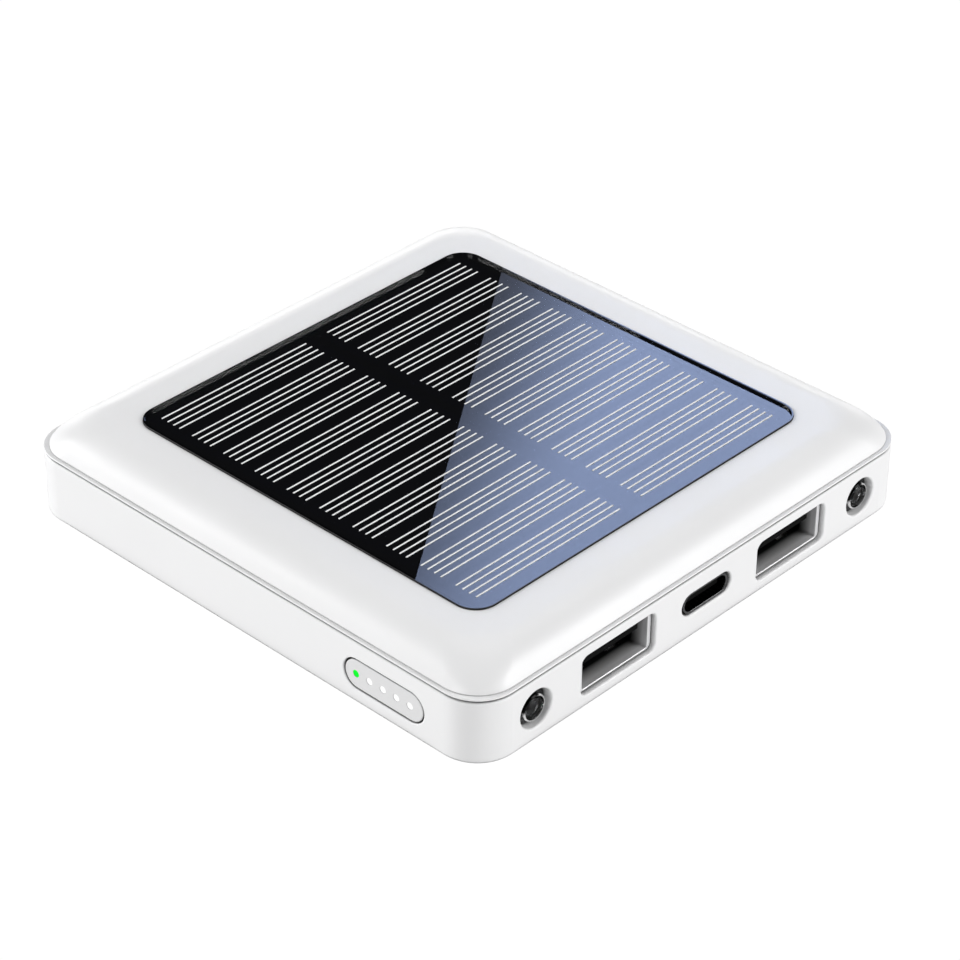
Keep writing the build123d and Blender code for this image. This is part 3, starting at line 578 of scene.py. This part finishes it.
def studio_floor():
    """A pale disc whose rim curves up, so that a low view still sees it."""
    profile = [(FLOOR_RADIUS * r, 0.0) for r in (0.0, 0.02, 0.05, FLOOR_INNER, 0.25, 0.5, FLOOR_FLAT)]
    for i in range(1, FLOOR_BEND_STEPS + 1):
        angle = math.pi / 2 * i / FLOOR_BEND_STEPS
        run = FLOOR_RADIUS * (FLOOR_FLAT + (1 - FLOOR_FLAT) * math.sin(angle))
        profile.append((run, FLOOR_RISE * (1 - math.cos(angle))))
    turns = [2 * math.pi * i / FLOOR_SPOKES for i in range(FLOOR_SPOKES)]
    rings = [[(r * math.cos(t), r * math.sin(t), z) for t in turns] for r, z in profile]
    seen = ring_mesh("studio_floor", rings, glowing("floor_glow", (1, 1, 1), FLOOR_GLOW))
    seen.visible_diffuse = False
    seen.visible_glossy = False
    foot = [foot_point(t) for t in turns]
    outer = [ring for ring, (r, z) in zip(rings, profile) if r > FLOOR_INNER * FLOOR_RADIUS]
    bounce = ring_mesh("floor_bounce", [foot] + outer, glowing("bounce_glow", (1, 1, 1), FLOOR_BOUNCE))
    bounce.visible_camera = False
    bounce.visible_transmission = False


def direction(azimuth, elevation):
    """Unit vector out of the middle of the studio; azimuth 0 is the port side. In radians."""
    flat = math.cos(elevation)
    return Vector((math.sin(azimuth) * flat, -math.cos(azimuth) * flat, math.sin(elevation)))


def make_camera():
    back = direction(CAMERA_AZIMUTH, CAMERA_ELEVATION)
    right = Vector((0, 0, 1)).cross(back).normalized()
    up = back.cross(right)
    c, s = math.cos(CAMERA_ROLL), math.sin(CAMERA_ROLL)
    axes = Matrix((c * right + s * up, -s * right + c * up, back)).transposed()
    data = bpy.data.cameras.new("camera")
    data.lens = CAMERA_LENS
    data.sensor_width = CAMERA_SENSOR
    camera = bpy.data.objects.new("camera", data)
    bpy.context.scene.collection.objects.link(camera)
    camera.matrix_world = Matrix.Translation(CAMERA_TARGET + back * CAMERA_DISTANCE) @ axes.to_4x4()
    bpy.context.scene.camera = camera
    return camera


# The blue card stands where the panel mirrors it from the camera. It is laid out on the
# panel, in shares of the panel's half side, and carried along the mirrored rays.
CARD_EDGE_START = (1.0145, 0.7585)
CARD_EDGE_END = (-0.9917, -0.6594)
CARD_OVERHANG = 0.35            # runs on past both ends of the edge
CARD_WIDTH = 2.4                # across the panel, in half sides
CARD_REACH = 3.0                # how far beyond the panel, in camera distances
CARD_DIM = (0.50, 0.57, 0.78)
CARD_BRIGHT = (2.75, 3.5, 5.6)
CARD_RAMP = 0.85                # in half sides
CARD_LEAN = 0.4                 # how much sooner it is bright at the near end, in half sides


def blue_card(camera):
    """The softbox that the right-hand part of the panel reflects, brighter away from its edge."""
    low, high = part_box("panel_backsheet")
    half = (high.x - low.x) / 2
    high.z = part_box("solar_cells")[1].z
    mirror = camera.matrix_world.translation.copy()
    mirror.z = 2 * high.z - mirror.z
    start, end = Vector(CARD_EDGE_START), Vector(CARD_EDGE_END)
    along = (end - start).normalized()
    across = Vector((-along.y, along.x))
    rows = (start - along * CARD_OVERHANG, end + along * CARD_OVERHANG)
    shares = (0.0, 0.25, 0.5, 0.75, 1.0)
    points = []
    for share in shares:
        for row in rows:
            flat = (row + across * CARD_WIDTH * share) * half
            ray = Vector((flat.x, flat.y, high.z)) - mirror
            points.append(mirror + ray * (1 + CARD_REACH))
    faces = [(2 * i, 2 * i + 1, 2 * i + 3, 2 * i + 2) for i in range(len(shares) - 1)]
    material = glowing("card_glow", CARD_BRIGHT, 1.0)
    card = make_mesh("blue_card", points, faces, material)
    uv = card.data.uv_layers.new(name="share")
    for loop in card.data.loops:
        column, row = divmod(loop.vertex_index, 2)
        uv.data[loop.index].uv = (shares[column] + row * CARD_LEAN / CARD_WIDTH, row)
    tree = material.node_tree
    place = tree.nodes.new("ShaderNodeUVMap")
    place.uv_map = "share"
    parts = tree.nodes.new("ShaderNodeSeparateXYZ")
    ramp = tree.nodes.new("ShaderNodeValToRGB")
    ramp.color_ramp.interpolation = "EASE"
    ramp.color_ramp.elements[0].color = (*CARD_DIM, 1)
    ramp.color_ramp.elements[1].position = CARD_RAMP / CARD_WIDTH
    ramp.color_ramp.elements[1].color = (*CARD_BRIGHT, 1)
    tree.links.new(place.outputs["UV"], parts.inputs["Vector"])
    tree.links.new(parts.outputs["X"], ramp.inputs["Fac"])
    tree.links.new(ramp.outputs["Color"], tree.nodes["Emission"].inputs["Color"])
    card.visible_camera = False
    card.visible_diffuse = False
    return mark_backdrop(card)


# Softboxes: azimuth and elevation of the direction they come from, in degrees (azimuth 0 is
# the port side, -90 the button side), size in metres, and radiance.
SOFTBOX_DISTANCE = 0.9
LOW_BOX = (0.5, 0.3)
HIGH_BOX = (0.6, 0.5)
SOFTBOXES = {
    "behind_left_high": (-150, 30, LOW_BOX, 6.3),
    "behind_left_low": (-150, 8, LOW_BOX, 5.5),
    "button_side": (-90, 30, LOW_BOX, 6.2),
    "right_high": (120, 60, HIGH_BOX, 2.0),
    "right_low": (120, 8, LOW_BOX, 2.1),
    "behind_right_low": (150, 8, LOW_BOX, 2.7),
    "port_side": (30, 30, LOW_BOX, 8.2),
    "port_side_low": (30, 8, LOW_BOX, 4.7),
    "corner_strip": (-45, 5, (0.12, 0.3), 5.5),
    "overhead": (0, 90, HIGH_BOX, 0.15),
}


def softbox(name, azimuth, elevation, size, radiance):
    towards = direction(math.radians(azimuth), math.radians(elevation))
    data = bpy.data.lights.new(name, "AREA")
    data.shape = "RECTANGLE"
    data.size, data.size_y = size
    data.energy = radiance * math.pi * size[0] * size[1]
    light = bpy.data.objects.new(name, data)
    bpy.context.scene.collection.objects.link(light)
    light.location = towards * SOFTBOX_DISTANCE
    light.rotation_euler = towards.to_track_quat("Z", "Y").to_euler()
    light.visible_camera = False
    return light


def make_world(strength):
    world = bpy.data.worlds.new("studio_air")
    world.use_nodes = True
    background = world.node_tree.nodes["Background"]
    background.inputs["Color"].default_value = (1, 1, 1, 1)
    background.inputs["Strength"].default_value = strength
    bpy.context.scene.world = world


finish_nodes()
studio_floor()
camera = make_camera()
blue_card(camera)
for name, settings in SOFTBOXES.items():
    softbox(name, *settings)
make_world(AIR_GLOW)
bpy.context.scene.view_settings.view_transform = "Standard"
